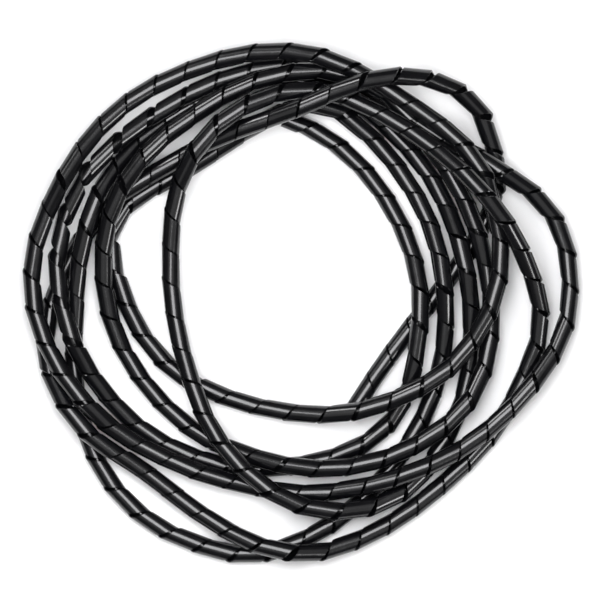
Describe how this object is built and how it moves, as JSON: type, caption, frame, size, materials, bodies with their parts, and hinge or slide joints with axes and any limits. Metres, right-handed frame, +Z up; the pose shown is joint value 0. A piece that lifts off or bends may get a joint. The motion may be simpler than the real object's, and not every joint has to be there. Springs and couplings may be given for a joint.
{
  "type": "spiral cable wrap",
  "caption": "Black plastic spiral cable wrap: a thin tube cut along a helix, lying as one loose coil ready to be wound around a bundle of cables.",
  "frame": {"origin": "centre of the coil's bounding box in plan, on the surface that the coil lies on", "axes": "+Z up from that surface; +X to the right and +Y to the top of a view from straight above, with the small corner loop of the coil at +X +Y"},
  "size_m": [0.2494, 0.233, 0.0373],
  "materials": {
    "black_polyethylene": "smooth extruded plastic with a satin to gloss sheen"
  },
  "bodies": {
    "root": {"spiral_wrap": "black_polyethylene"}
  },
  "joints": []
}
